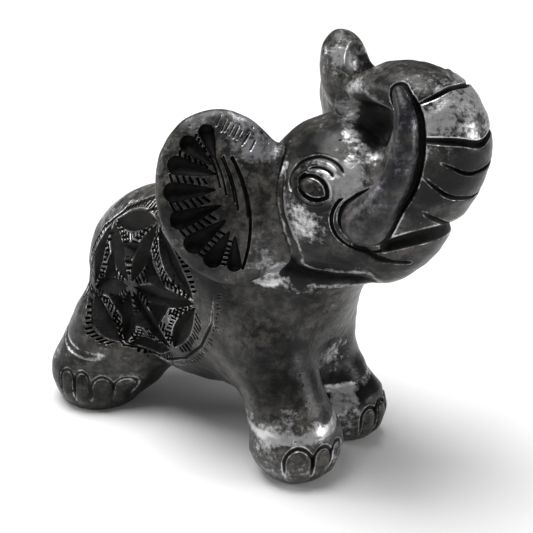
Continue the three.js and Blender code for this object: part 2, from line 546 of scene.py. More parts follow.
def nick(u, v, a, b, half, depth):
    """A V cut that fades at both ends."""
    t, off, _ = along_and_off(u, v, a, b)
    fade = np.clip(np.minimum(t, 1 - t) * 6, 0, 1)
    return depth * fade * np.clip(1 - np.abs(off) / half, 0, 1)


def line_cut(u, v, points, half, depth):
    """A V cut along several points."""
    best = np.full(u.shape, 1e3)
    for a, b in zip(points[:-1], points[1:]):
        t, off, length = along_and_off(u, v, a, b)
        beyond = np.maximum(np.maximum(-t, t - 1), 0) * length
        best = np.minimum(best, np.hypot(off, beyond))
    return depth * np.clip(1 - best / half, 0, 1)


print("wobbles of cuts 0 to 3, mm:", [round(float(wobble(i, 0.3)), 2) for i in range(4)])

# %% [markdown]
# ## Gouges, leaves and chips
#
# The wider cuts each have a floor of their own: a gouge is scooped, a leaf is two slopes that meet in a
# keel, and a chip sinks to one deep point. Leaves have short nicks down both sides.


# %% Gouges, leaves and chips
def gouge(u, v, tip, end, half, depth):
    """A scooped teardrop: sharp and shallow at its tip, blunt and deep at its end."""
    t, off, length = along_and_off(u, v, tip, end)
    t1 = np.clip(t, 0, 1)
    radius = half * (0.12 + 0.88 * t1 ** 0.8)
    away = np.hypot(off, (t - t1) * length)
    inside = np.clip(1 - (away / radius) ** 2, 0, 1)
    return depth * (0.3 + 0.7 * t1) * np.sqrt(inside)


def leaf(u, v, a, b, half, depth, keel=0.5):
    """A pointed leaf cut by two strokes that meet in a keel to one side."""
    t, off, _ = along_and_off(u, v, a, b)
    x = np.clip(2 * t - 1, -1, 1)
    width = half * (1 - x * x) + 1e-6
    side = off / width
    rise = np.minimum((1 - side) / (1 - keel), (1 + side) / (1 + keel))
    return depth * np.sqrt(1 - x * x) * np.clip(rise, 0, 1) * ((t > 0) & (t < 1))


def chip(u, v, a, b, c, depth):
    """A three-sided chip, deepest in its middle."""
    (ax, ay), (bx, by), (cx, cy) = a, b, c
    area = (bx - ax) * (cy - ay) - (cx - ax) * (by - ay)
    wb = ((u - ax) * (cy - ay) - (cx - ax) * (v - ay)) / area
    wc = ((bx - ax) * (v - ay) - (u - ax) * (by - ay)) / area
    return depth * np.clip(3 * np.minimum(np.minimum(wb, wc), 1 - wb - wc), 0, 1)


def notches_beside(u, v, a, b, half, reach, pitch, depth, seed=0.0, slant=0.5):
    """A row of short slanted nicks down both sides of a leaf."""
    t, off, length = along_and_off(u, v, a, b)
    x = np.clip(2 * t - 1, -1, 1)
    beyond = np.abs(off) - half * (1 - x * x) - 0.15
    place = (t * length + slant * beyond) / pitch
    cell = np.floor(place)
    reach_here = reach * (1 + wobble(cell + seed, 0.3))
    tooth = np.clip(1 - np.abs(place - cell - 0.5 - wobble(cell + seed + 7, 0.12)) / 0.34, 0, 1)
    inside = (beyond > 0) & (beyond < reach_here) & (t > 0.06) & (t < 0.95)
    return depth * tooth * inside * np.clip((reach_here - beyond) / 0.3, 0, 1)


across_leaf = np.linspace(-1, 1, 5)
floor_depths = leaf(np.full(5, 5.0), across_leaf, (0, 0), (10, 0), 1.0, 1.5)
print("depth across the middle of a leaf, mm:", np.round(floor_depths, 2))

# %% [markdown]
# ## Rosette on each flank
#
# Six leaves meet in the middle of the flank, six more join their tips into a rough hexagon, and a
# three-sided chip fills each gap. Nicks roughen the strips between. The tips aren't evenly spaced: the
# maker stretched the flower forwards to fill the flank.

# %% Rosette
ROSE = (-22.5, 34.2)
ROSE_POINTS = 6
ROSE_REACH = 16
ROSE_DEPTH = 1.5
LEAF_HALF = 2.5
RIM_LEAF_HALF = 2.2
NOTCH_PITCH = 1.1


def rosette_tip(i):
    """The sectors are drawn wider over the back, and the point towards the head is the longest."""
    step = 2 * math.pi / ROSE_POINTS
    turn = math.radians(5) + step * i + math.radians(16) * math.sin(step * i / 2)
    reach = ROSE_REACH * (1 + 0.28 * max(math.cos(turn), 0) ** 4)
    return (ROSE[0] + reach * math.cos(turn), ROSE[1] + reach * math.sin(turn))


ROSE_TIPS = [rosette_tip(i) for i in range(ROSE_POINTS)]


def towards(a, b, share):
    return (a[0] + (b[0] - a[0]) * share, a[1] + (b[1] - a[1]) * share)


def rosette_cut(r):
    u, v = r[:, 0], r[:, 2]
    cut = np.zeros(len(r))
    for i, tip in enumerate(ROSE_TIPS):
        after = ROSE_TIPS[(i + 1) % len(ROSE_TIPS)]
        start, end = towards(ROSE, tip, 0.06), towards(ROSE, tip, 0.97)
        rim_a, rim_b = towards(tip, after, 0.05), towards(tip, after, 0.95)
        cut = np.maximum(cut, leaf(u, v, start, end, LEAF_HALF, ROSE_DEPTH, -0.55))
        cut = np.maximum(cut, leaf(u, v, rim_a, rim_b, RIM_LEAF_HALF, ROSE_DEPTH, 0.5))
        beside = notches_beside(u, v, start, end, LEAF_HALF, 1.9, NOTCH_PITCH, 0.9, i * 31.0)
        cut = np.maximum(cut, beside)
        beside = notches_beside(u, v, rim_a, rim_b, RIM_LEAF_HALF, 1.7, NOTCH_PITCH, 0.85, i * 17.0)
        cut = np.maximum(cut, beside)
        middle = towards(tip, after, 0.5)
        inner = towards(ROSE, middle, 0.34)
        corners = [towards(inner, towards(ROSE, end_tip, 0.86), 0.78) for end_tip in (tip, after)]
        corners = [towards(corner, inner, 0.12) for corner in corners]
        cut = np.maximum(cut, chip(u, v, inner, *corners, 2.0))
    facing = np.clip((np.abs(r[:, 1]) - 7) / 3, 0, 1)
    return cut * facing


print("rosette tips, mm:", [(round(x, 1), round(z, 1)) for x, z in ROSE_TIPS])

# %% [markdown]
# ## Border lines and haunch
#
# Two scored lines run beside the spine, one goes round the belly side with short rays outside it, and
# rough knife strokes lie over the top of the haunch.

# %% Border lines and haunch
SPINE_LINE = [(-6, 57.5), (-15, 55.2), (-24, 52), (-32, 47.5), (-38, 41.5), (-41.5, 34), (-42, 27)]
BELLY_LINE = [(3, 40), (2.2, 33), (-2, 26), (-8, 20.5), (-15, 17.2), (-22, 16.6)]


def border_cut(r):
    u, v = r[:, 0], r[:, 2]
    cut = line_cut(u, v, SPINE_LINE, 0.5, 0.5) * np.clip((-7 - u) / 5, 0, 1)
    inner_line = [(x + 1.4, z - 1.8) for x, z in SPINE_LINE]
    cut = np.maximum(cut, line_cut(u, v, inner_line, 0.45, 0.4))
    cut = np.maximum(cut, line_cut(u, v, BELLY_LINE, 0.6, 0.4) * np.clip((3 - u) / 2, 0, 1))
    rays = [(x, z, 1.8, -0.6 - 0.08 * x) for x, z in curve_through(BELLY_LINE, 34)]
    for i, (x, z, long, lean) in enumerate(rays):
        away = math.atan2(z - ROSE[1], x - ROSE[0]) + wobble(i, 0.2)
        start = (x + math.cos(away) * 0.6, z + math.sin(away) * 0.6)
        end = (x + math.cos(away) * (long + wobble(i + 5, 0.6)), z + math.sin(away) * long)
        cut = np.maximum(cut, nick(u, v, start, end, 0.28, 0.3))
    return cut * np.clip((np.abs(r[:, 1]) - 3) / 2, 0, 1)


HAUNCH_NICKS = 26


def haunch_cut(r):
    """Rough knife strokes over the top of the haunch."""
    u, v = r[:, 0], r[:, 2]
    cut = np.zeros(len(r))
    for i in range(HAUNCH_NICKS):
        x = -40 + 17 * (i / HAUNCH_NICKS) + wobble(i, 1.0)
        z = 28 - 9 * (i / HAUNCH_NICKS) + wobble(i + 40, 2.0)
        turn = -0.5 + wobble(i + 80, 0.5)
        half_long = 1.9 + wobble(i + 120, 0.7)
        a = (x - math.cos(turn) * half_long, z - math.sin(turn) * half_long)
        b = (x + math.cos(turn) * half_long, z + math.sin(turn) * half_long)
        cut = np.maximum(cut, nick(u, v, a, b, 0.32, 0.45))
    return cut * np.clip((np.abs(r[:, 1]) - 9) / 3, 0, 1)


print("border lines have", len(SPINE_LINE), "and", len(BELLY_LINE), "points, haunch strokes:", HAUNCH_NICKS)

# %% [markdown]
# ## Fan of gouges on each ear
#
# Eight scooped teardrops fan out from the root of the ear, blunt ends to the rim. Nicks cross the
# ridges between them, and long strokes follow the root. The rim is left smooth.

# %% Ear carving
EAR_FAN = 8


def ear_spot(turn, across_share, up_share):
    """A place on the leaf, as shares of its half width and half height."""
    across = EAR_HALF[0] * across_share * math.cos(turn)
    up = EAR_HALF[1] * up_share * math.sin(turn)
    splay_cos, splay_sin = math.cos(EAR_SPLAY), math.sin(EAR_SPLAY)
    return (across * splay_cos + up * splay_sin, up * splay_cos - across * splay_sin)


def ear_gouge(i):
    """Tips start on a narrow oval near the root, blunt ends lie on an oval inside the rim."""
    turn = math.radians(88 - 24 * i)
    tip = ear_spot(turn, 0.12 + wobble(i, 0.06), 0.45)
    end = ear_spot(turn, 0.73, 0.76)
    return (tip, end, 1.6 + 0.5 * math.cos(turn) + wobble(i + 3, 0.15))


EAR_GOUGES = [ear_gouge(i) for i in range(EAR_FAN)]
EAR_LINE = [(-4.8 + 0.02 * (z + 5) ** 2, z) for z in np.linspace(8, -14, 16)]
RIDGE_NICKS = 6
ROOT_STROKES = 5
CROWN_NICKS = 9


def ridge_nick(one, other, share, shift):
    """Start and end of a nick across the ridge between two gouges."""
    a, b = towards(one[0], one[1], share), towards(other[0], other[1], share)
    a, b = towards(a, b, 0.3), towards(a, b, 0.72)
    return (a[0] + 0.5 + shift, a[1]), (b[0] - 0.5, b[1] + shift)


def ear_cut(r):
    u, v, w = on_ear(r)
    cut = np.zeros(len(r))
    for tip, end, half in EAR_GOUGES:
        cut = np.maximum(cut, gouge(u, v, tip, end, half, 1.7))
    for i, (one, other) in enumerate(zip(EAR_GOUGES[:-1], EAR_GOUGES[1:])):
        for k in range(RIDGE_NICKS):
            a, b = ridge_nick(one, other, 0.25 + 0.17 * k, wobble(i * 9 + k, 0.3))
            cut = np.maximum(cut, nick(u, v, a, b, 0.36, 0.7))
    for k in range(ROOT_STROKES):
        offset = 0.9 * k + 0.6 + wobble(k, 0.3)
        upper = EAR_LINE[:9 - k]
        strand = [(x + offset * (1 + 0.04 * i), z + wobble(i + k, 0.2)) for i, (x, z) in enumerate(upper)]
        cut = np.maximum(cut, line_cut(u, v, strand, 0.32, 0.45))
    for k in range(CROWN_NICKS):
        x, z = -4.6 + 0.8 * k + wobble(k, 0.2), 9.6 + 0.5 * k + wobble(k, 0.6)
        cut = np.maximum(cut, nick(u, v, (x, z), (x - 1.4, z + 2.2 + wobble(k + 20, 0.8)), 0.3, 0.22))
    cut = np.maximum(cut, line_cut(u, v, EAR_LINE, 0.42, 0.7))
    across = u * math.cos(EAR_SPLAY) - v * math.sin(EAR_SPLAY)
    up = u * math.sin(EAR_SPLAY) + v * math.cos(EAR_SPLAY)
    margin = (1 - np.hypot(across / EAR_HALF[0], up / EAR_HALF[1])) * 15
    return cut * np.clip(w + 1, 0, 1) * np.clip((margin - 0.8) / 0.6, 0, 1)


print("ear gouges, mm long:", [round(math.dist(tip, end), 1) for tip, end, _ in EAR_GOUGES])

# %% [markdown]
# ## Trunk wrinkles and tusk grooves
#
# Five wrinkles sag across the front of the trunk. Each lies at its own angle round the middle of the
# trunk's loop. A groove follows each tusk, and a ring marks the socket that it grows from.

# %% Trunk wrinkles and tusk grooves
WRINKLES = [(50, 0.8), (13, 1.1), (-6, 0.6), (-26, 0.7), (-48, 0.8)]
SAG = 0.035
TRUNK_CORE = (36.5, 76.0)
SOCKET_AT = (36.2, -12, 62.6)
SOCKET_RADIUS = 6.6


def wrinkle_cut(p):
    cut = np.zeros(len(p))
    level = p[:, 2] - TRUNK_CORE[1] - SAG * p[:, 1] ** 2
    across = np.arctan2(level, p[:, 0] - TRUNK_CORE[0])
    reach = np.hypot(p[:, 0] - TRUNK_CORE[0], p[:, 2] - TRUNK_CORE[1])
    for i, (turn, width) in enumerate(WRINKLES):
        off = (across - math.radians(turn)) * reach + 0.25 * np.sin(p[:, 1] * 0.7 + i * 2)
        end = 9.2 + wobble(i, 1.2)
        fade = np.clip((end - np.abs(p[:, 1] + wobble(i + 3, 0.8))) / 3, 0, 1) * (reach > 8) * (p[:, 0] > 40)
        groove = np.clip(1 - np.abs(off) / width, 0, 1) ** 1.3
        swell = np.exp(-((off + 1.9) / 1.1) ** 2)
        cut = cut + fade * (0.75 * groove - 0.2 * swell)
    return cut


def tusk_groove(p, r):
    away = roll(r, TUSK)
    front = np.clip((r[:, 0] - 42) / 4, 0, 1)
    groove = (0.4 + 0.5 * front) * np.exp(-((away - 0.5 - 0.15 * front) / (0.42 + 0.18 * front)) ** 2)
    socket = np.sqrt(((r - np.array(SOCKET_AT, f32)) ** 2).sum(-1)) - SOCKET_RADIUS
    ring = 0.5 * np.clip(1 - np.abs(socket) / 0.5, 0, 1) * (r[:, 0] < 38.5) * (r[:, 2] < 67)
    return np.maximum(groove, ring)


print("wrinkles, degrees above level:", [turn for turn, _ in WRINKLES])

# %% [markdown]
# ## Eyes and brows
#
# An almond socket with lids is pressed round the pellet, and a curled stroke makes the brow. Both are
# drawn on a plane that faces the way the eye looks.

# %% Eyes and brows
EYE_FRONT = np.array([0.78, 0.62, 0.0], f32)
EYE_UP = np.array([-0.28, 0.34, 0.90], f32)
LID_TILT = math.radians(-34)
ALMOND_RADIUS = 3.9
ALMOND_SHIFT = 1.7


def eye_cut(r):
    """An almond socket with lids, under a curled brow that widens towards the nose."""
    q = r - np.array(EYE_AT, f32)
    u, v = q @ EYE_FRONT, q @ EYE_UP
    near = np.clip((9 - np.linalg.norm(q, axis=1)) / 1.5, 0, 1)
    x = (u - 0.5) * math.cos(LID_TILT) + (v + 0.45) * math.sin(LID_TILT)
    y = -(u - 0.5) * math.sin(LID_TILT) + (v + 0.45) * math.cos(LID_TILT)
    lens = np.maximum(np.hypot(x, y + ALMOND_SHIFT), np.hypot(x, y - ALMOND_SHIFT)) - ALMOND_RADIUS
    lids = 0.6 * np.exp(-((lens + 0.1) / 0.36) ** 2) - 0.4 * np.exp(-((lens - 0.85) / 0.38) ** 2)
    swirl = np.degrees(np.arctan2(v, u - 0.2))
    swirl = np.where(swirl < -90, swirl + 360, swirl)
    rim = 3.5 + 2.7 * np.clip((180 - swirl) / 150, 0, 1)
    away = np.hypot(u - 0.2, v) - rim
    over = np.clip((swirl - 14) / 12, 0, 1) * np.clip((200 - swirl) / 25, 0, 1)
    brow = 0.35 * np.exp(-((away - 0.25) / 0.4) ** 2) - 0.7 * np.exp(-((away + 0.8) / 0.6) ** 2)
    brow = brow + 0.4 * np.exp(-((away + 1.75) / 0.35) ** 2)
    return near * (lids + brow * over)


socket_long = 2 * math.sqrt(ALMOND_RADIUS ** 2 - ALMOND_SHIFT ** 2)
socket_high = 2 * (ALMOND_RADIUS - ALMOND_SHIFT)
print("eye socket, mm long and high:", round(socket_long, 1), round(socket_high, 1))

# %% [markdown]
# ## Mouth
#
# One deep stroke rises from the jaw to the tip of the lower lip and droops at both sides. The lip under
# it swells a little, and a short stroke turns the corner down.

# %% Mouth
SLIT_START = 26.8
SLIT_RISE = 0.724
SLIT_DROOP = 0.0313
MOUTH_CORNER = [(34, 57.5), (37.5, 55), (41.5, 54.2)]


def mouth_cut(r):
    slit_z = SLIT_START + SLIT_RISE * r[:, 0] + SLIT_DROOP * r[:, 1] ** 2
    off = r[:, 2] - slit_z
    inside = np.clip((r[:, 0] - 38) / 2, 0, 1)
    slit = 1.5 * np.exp(-(off / 0.75) ** 2) * inside
    lip = 0.2 * np.exp(-((off + 2.6) / 1.4) ** 2) * inside
    corner = line_cut(r[:, 0], r[:, 2], MOUTH_CORNER, 1.0, 0.6) * (r[:, 1] < -3)
    return np.maximum(slit, corner) - lip


print("the slit rises at", round(math.degrees(math.atan(SLIT_RISE))), "degrees")

# %% [markdown]
# ## Toenails
#
# Each toenail is a small pad ringed by a pressed groove. A toe is its angle round the foot, its half
# width and the height of its top. A foot is its middle, its radius, its toes, the side it stands on
# and how hard its nails are pressed.

# %% Toenails
FRONT_TOES = [(-45, 2.9, 10.6), (-13, 2.1, 10.2), (13, 2.0, 9.8)]
REAR_TOES = [(-84, 1.7, 10.4), (-63, 1.6, 10.6), (-38, 2.3, 9.6), (-11, 2.2, 9.2)]
FEET = [
    (18, -10.4, 10.2, FRONT_TOES, 1, 1.1), (16, 9.2, 8.9, FRONT_TOES, -1, 1.1),
    (-38.6, -15.9, 11, REAR_TOES, 1, 0.7), (-38.6, 15.9, 11, REAR_TOES, -1, 0.7),
]


def nail_cut(p):
    cut = np.zeros(len(p))
    for x, y, radius, toes, side, press in FEET:
        turn = np.degrees(np.arctan2(side * (p[:, 1] - y), p[:, 0] - x))
        here = np.hypot(p[:, 0] - x, p[:, 1] - y) < radius + 3
        for toe, width, top in toes:
            across = np.radians(turn - toe) * radius
            above = np.maximum(p[:, 2] - (top - width * 1.25), 0) / 1.25
            arch = np.hypot(across, above) - width
            low = np.clip((p[:, 2] - 1) / 2, 0, 1)
            fade = np.clip((p[:, 2] - 2.5) / 4, 0, 1)
            groove = 0.6 * fade * np.exp(-((arch - 0.2) / 0.42) ** 2)
            pad = 0.35 * np.clip(-arch / width, 0, 1) ** 0.6
            cut = cut + press * here * low * (groove - pad)
    return cut


print("toenails:", sum(len(toes) for _, _, _, toes, _, _ in FEET))

# %% [markdown]
# ## Folds and thumb marks
#
# Soft folds lie above the feet, under the jaw and where the ear meets the head. Thumbs leave the skin
# faintly uneven everywhere, which is what makes its reflections break up.


# %% Folds and thumb marks
def fold_cut(p, r):
    """Soft folds above the feet, under the jaw, and where the ear meets the head."""
    ankle_z = 15.6 - 0.22 * (r[:, 0] + 38) + 0.02 * (r[:, 0] + 38) ** 2
    ankle = 0.4 * np.exp(-((r[:, 2] - ankle_z) / 0.8) ** 2)
    ankle = ankle * np.clip((-28 - r[:, 0]) / 4, 0, 1) * np.clip((-12 - r[:, 1]) / 4, 0, 1)
    heel = 0.18 * np.exp(-((p[:, 2] - 14.2 - 0.1 * p[:, 1]) / 0.9) ** 2) * (p[:, 0] > 9)
    jaw_away = np.hypot(r[:, 0] - 27.5, r[:, 2] - 62) - 15.0
    behind = np.clip((60 - r[:, 2]) / 3, 0, 1) * np.clip((36 - r[:, 0]) / 4, 0, 1)
    jaw = 0.9 * np.exp(-(jaw_away / 1.9) ** 2) * behind
    root = 0.4 * np.exp(-((ear_leaf(r) - 2.1) / 0.8) ** 2)
    root = root * np.clip((r[:, 0] - 6) / 3, 0, 1) * np.clip((73 - r[:, 2]) / 6, 0, 1)
    return ankle + heel + jaw + root


def thumb_dents(p):
    """The faint unevenness that fingers leave on soft clay."""
    x, y, z = p[:, 0], p[:, 1], p[:, 2]
    wide = np.sin(0.42 * x + 1.4 * np.sin(0.31 * z)) * np.sin(0.46 * z + 1.1 * np.sin(0.37 * y))
    fine = np.sin(0.93 * x + 0.8 * z + 1.2 * np.sin(0.5 * y)) * np.sin(0.88 * z - 0.5 * x + 2.0)
    return 0.13 * wide + 0.06 * fine


diagonal = np.stack([np.linspace(-40, 40, 400)] * 3, 1)
print("deepest thumb mark along a diagonal, mm:", round(float(thumb_dents(diagonal).max()), 2))

# %% [markdown]
# ## Everything cut into the shell
#
# The depths are added up here. A second sum says how matt and black the skin is: the depth of the
# knife cuts, a share of the soft folds and toenails, and the hollows the stone doesn't reach. The
# folds, toenails and hollows are also painted darker there as shade.


# %% Everything cut into the shell
def knife_cut(p):
    r = to_right(p)
    deep = np.maximum(rosette_cut(r), np.maximum(border_cut(r), haunch_cut(r)))
    deep = np.maximum(deep, np.maximum(wrinkle_cut(p), tusk_groove(p, r)))
    deep = np.maximum(deep, mouth_cut(r))
    return deep + eye_cut(r)


def shell_cut(p):
    return knife_cut(p) + nail_cut(p) + fold_cut(p, to_right(p)) + thumb_dents(p)


# Share of the fold and toenail depths painted darker as crease shade, and made matt.
CREASE_SHADE_AND_MATT_SHARE = 0.35
# Deep hollows painted darker as shade and left unburnished and matt: the web in the trunk's loop, the
# nostril, inside the trunk and under the jaw.
UNBURNISHED_SHADED_HOLLOWS = [
    (32, 0, 79, 8.0, 0.3), (25, 0, 89, 3.0, 0.2), (30, -4, 84, 4.0, 0.25), (20, -12, 47, 5.0, 0.12),
]


def shell_matt_and_shade(p):
    """How matt and black the skin is: cut, folded, or out of the burnishing stone's reach, with painted
    shade in the folds and hollows.
    """
    r = to_right(p)
    # Painted crease shade, also matt: a share of the fold and toenail depths.
    soft = CREASE_SHADE_AND_MATT_SHARE * np.maximum(nail_cut(p) + fold_cut(p, r), 0)
    return np.maximum(knife_cut(p) + soft, patches(r, UNBURNISHED_SHADED_HOLLOWS))


def shell_detail(p):
    """Where the shell's carving is close enough to need a fine mesh."""
    r = to_right(p)
    flank = (np.hypot((r[:, 0] + 19) / 25, (r[:, 2] - 35) / 23) < 1) & (r[:, 1] < -3)
    face = (r[:, 0] > 15) & (r[:, 2] > 46)
    feet = (p[:, 2] < 13) & ((p[:, 0] > 16) | ((p[:, 0] < -26) & (r[:, 1] < -10)))
    return (flank | face | feet) & (hollow(p) > 1)


# Counts the hollows painted with shade.
print("places the stone doesn't reach:", len(UNBURNISHED_SHADED_HOLLOWS))

# %% [markdown]
# ## Burnish
#
# Where the stone was pressed hard the skin shines like graphite: cheeks, nose, ear roots, the front
# of the trunk and the feet. Between those it is duller, and on the chest it was hardly rubbed. Each
# mesh carries that as a number from 0 to 1, beside the number for how matt and black it is, which
# also carries painted shade.

# %% Burnish map
TRUNK_TURN = (TRUNK_CORE[0], 0, TRUNK_CORE[1])
FORE_FOOT = (FEET[0][0], FEET[0][1], 0)
HIND_FOOT = (FEET[2][0], FEET[2][1], 0)
FLANK = (ROSE[0], 0, ROSE[1])


def near_to(place, forward, outward, up, size, strength):
    """A patch some whole millimetres from a named place on the right side."""
    return (place[0] + forward, place[1] - outward, place[2] + up, size, strength)


POLISHED = [
    near_to(EYE_AT, 0, 2, -7, 6, 1.0),
    near_to(EYE_AT, 6, -2, 3, 5, 1.0),
    near_to(EYE_AT, -13, 1, 5, 5.5, 0.8),
    near_to(EYE_AT, -9, 1, -20, 5, 1.0),
    near_to(EYE_AT, -16, -1, 10, 5, 0.7),
    near_to(TRUNK_TURN, 12, 4, 9, 8, 0.9),
    near_to(TRUNK_TURN, 7, 12, 0, 4, 0.3),
    near_to(TRUNK_TURN, -14, 4, 15, 2.5, 0.5),
    near_to(FORE_FOOT, 0, 9, 12, 4, 0.8),
    near_to(FORE_FOOT, 8, 3, 14, 3, 0.7),
    near_to(FORE_FOOT, 2, -7, 12, 5, 1.0),
    near_to(FORE_FOOT, -2, -6, 24, 5, 0.8),
    near_to(HIND_FOOT, -4, 7, 12, 4, 0.6),
    near_to(FLANK, 2, 0, 22, 10, 0.5),
    near_to(FLANK, -20, 8, 10, 8, 0.5),
]
UNRUBBED = [
    near_to(EYE_AT, -18, 6, -5, 10, 0.9),
    near_to(FORE_FOOT, -5, 4, 34, 13, 0.5),
    near_to(FORE_FOOT, -16, 8, 24, 9, 0.6),
    near_to(FORE_FOOT, 0, 3, 24, 7, 0.4),
]


def patches(r, spots):
    total = np.zeros(len(r))
    for x, y, z, size, strength in spots:
        away2 = ((r - np.array((x, y, z), f32)) ** 2).sum(-1)
        total = np.maximum(total, strength * np.exp(-away2 / (0.6 * size * size)))
    return total


print("rubbed bright:", len(POLISHED), "patches, hardly rubbed:", len(UNRUBBED))

# %% [markdown]
# ## Writing a material
#
# A procedural material is a sum of many small nodes. This helper makes each node in one call, so that
# the recipe below reads as a recipe. Its noises are scaled in lumps per metre, in the piece's own space.

# %% Recipe helper
class Recipe:
    """A material's nodes, written as short calls."""

    def __init__(self, name):
        self.material = bpy.data.materials.new(name)
        self.material.use_nodes = True
        self.nodes = self.material.node_tree.nodes
        self.links = self.material.node_tree.links
        self.shader = self.nodes["Principled BSDF"]
        self.place = self.nodes.new("ShaderNodeTexCoord").outputs["Object"]

    def put(self, socket, source):
        """Gives a socket a number or a colour, or links it."""
        if isinstance(source, tuple):
            socket.default_value = (*source, 1)
        elif isinstance(source, (int, float)):
            socket.default_value = source
        else:
            self.links.new(source, socket)

    def noise(self, scale, detail, stretch=(1, 1, 1), rough=0.6):
        mapping = self.nodes.new("ShaderNodeMapping")
        mapping.inputs["Scale"].default_value = stretch
        self.links.new(self.place, mapping.inputs["Vector"])
        node = self.nodes.new("ShaderNodeTexNoise")
        node.inputs["Scale"].default_value = scale
        node.inputs["Detail"].default_value = detail
        node.inputs["Roughness"].default_value = rough
        self.links.new(mapping.outputs["Vector"], node.inputs["Vector"])
        return node.outputs["Fac"]

    def cells(self, scale):
        node = self.nodes.new("ShaderNodeTexVoronoi")
        node.inputs["Scale"].default_value = scale
        self.links.new(self.place, node.inputs["Vector"])
        return node.outputs["Distance"]

    def value(self, attribute):
        node = self.nodes.new("ShaderNodeAttribute")
        node.attribute_name = attribute
        return node.outputs["Fac"]

    def maths(self, operation, a, b):
        node = self.nodes.new("ShaderNodeMath")
        node.operation = operation
        self.put(node.inputs[0], a)
        self.put(node.inputs[1], b)
        return node.outputs["Value"]

    def times(self, a, b):
        return self.maths("MULTIPLY", a, b)

    def total(self, *parts):
        result = parts[0]
        for part in parts[1:]:
            result = self.maths("ADD", result, part)
        return result

    def swing(self, source, amount):
        """A noise that swings to both sides of zero."""
        return self.times(self.maths("SUBTRACT", source, 0.5), amount)

    def ramp(self, source, low, high, low_to=0.0, high_to=1.0):
        node = self.nodes.new("ShaderNodeMapRange")
        node.interpolation_type = "SMOOTHSTEP"
        self.put(node.inputs["Value"], source)
        self.put(node.inputs["From Min"], low)
        self.put(node.inputs["From Max"], high)
        self.put(node.inputs["To Min"], low_to)
        self.put(node.inputs["To Max"], high_to)
        return node.outputs["Result"]

    def mix(self, factor, a, b):
        node = self.nodes.new("ShaderNodeMix")
        node.data_type = "RGBA"
        self.put(node.inputs[0], factor)
        self.put(node.inputs[6], a)
        self.put(node.inputs[7], b)
        return node.outputs[2]


# %% [markdown]
# ## Burnished black clay
#
# One clay, one firing, so one recipe serves every piece. The burnish number drives metallic sheen,
# broken up by noise the size of the burnishing stone's marks. The cut number turns the skin matt and
# paints it darker as shade, with a bright lip where the knife raised the edge, partly a painted
# highlight. Pits and grit are under a millimetre, and the pits are painted dark as shade.

# %% Burnished black clay
CLOUDS = 62
BUMPS = 110
STONE_MARKS = 170
PIT_GROUPS = 300
STROKES = 420
DUST = 560
PITS = 620
SPECKS = 1100
GRIT = 2200
STROKE_STRETCH = (0.25, 1.0, 3.2)
DUST_ADDS = (0.066, 0.060, 0.050)


def shine_of(recipe, depth, cut, strokes):
    """How silvery the skin is, from 0 to 1, with a painted highlight along the rims of cuts."""
    # Painted highlight: a thin band at each cut's rim is made more silvery, partly the raised, burnished
    # edge.
    lip = recipe.times(recipe.ramp(depth, 0.005, 0.05), recipe.ramp(depth, 0.07, 0.16, 1.0, 0.0))
    rubbed = recipe.total(
        recipe.value("burnish"),
        recipe.swing(recipe.noise(STONE_MARKS, 8, rough=0.68), 2.0),
        recipe.swing(recipe.noise(SPECKS, 4), 1.3),
        recipe.swing(strokes, 0.5),
        recipe.swing(recipe.noise(CLOUDS, 5), 1.6),
    )
    rubbed = recipe.maths("SUBTRACT", rubbed, cut)
    return recipe.ramp(recipe.total(rubbed, recipe.times(lip, 0.55)), 0.42, 1.2)


def pits_of(recipe):
    groups = recipe.ramp(recipe.noise(PIT_GROUPS, 2), 0.56, 0.66)
    return recipe.times(recipe.ramp(recipe.cells(PITS), 0.10, 0.28, 1.0, 0.0), groups)


def clay(name, black, silver, gloss):
    recipe = Recipe(name)
    depth = recipe.value("cut")
    cut = recipe.ramp(depth, 0.04, 0.3)
    strokes = recipe.noise(STROKES, 3, STROKE_STRETCH)
    shine = shine_of(recipe, depth, cut, strokes)
    smoke = recipe.ramp(recipe.noise(CLOUDS, 5), 0.38, 0.60)
    dusty = recipe.times(recipe.ramp(recipe.noise(DUST, 7, rough=0.7), 0.40, 0.62), smoke)
    pits = pits_of(recipe)
    # Painted shade: a black a third as bright is mixed into cuts, folds, hollows and pits. The knife cuts
    # are also truly matt; that part is the lost silver and the higher roughness.
    painted_shade_black = tuple(c * 0.3 for c in black)
    brown = recipe.mix(dusty, black, tuple(c + e for c, e in zip(black, DUST_ADDS)))
    colour = recipe.mix(recipe.times(cut, 0.9), recipe.mix(shine, brown, silver), painted_shade_black)
    colour = recipe.mix(recipe.times(pits, 0.7), colour, painted_shade_black)
    rough = recipe.maths("SUBTRACT", gloss + 0.02, recipe.times(shine, 0.03))
    rough = recipe.total(rough, recipe.times(cut, 0.16), recipe.swing(strokes, 0.22))
    rough = recipe.total(rough, recipe.times(dusty, 0.12))
    relief = recipe.total(
        recipe.times(strokes, 0.09),
        recipe.times(recipe.noise(BUMPS, 3), 0.45),
        recipe.times(recipe.noise(GRIT, 3), 0.05),
    )
    bump = recipe.nodes.new("ShaderNodeBump")
    bump.inputs["Strength"].default_value = 0.9
    bump.inputs["Distance"].default_value = 1.0 * MM
    recipe.put(bump.inputs["Height"], recipe.maths("SUBTRACT", relief, recipe.times(pits, 0.14)))
    glaze = recipe.total(0.16, recipe.times(smoke, 0.26))
    glaze = recipe.times(glaze, recipe.maths("SUBTRACT", 1.0, recipe.times(cut, 0.75)))
    recipe.put(recipe.shader.inputs["Base Color"], colour)
    recipe.put(recipe.shader.inputs["Metallic"], recipe.times(shine, 0.9))
    recipe.put(recipe.shader.inputs["Roughness"], rough)
    recipe.put(recipe.shader.inputs["Normal"], bump.outputs["Normal"])
    recipe.put(recipe.shader.inputs["Specular IOR Level"], glaze)
    return recipe.material


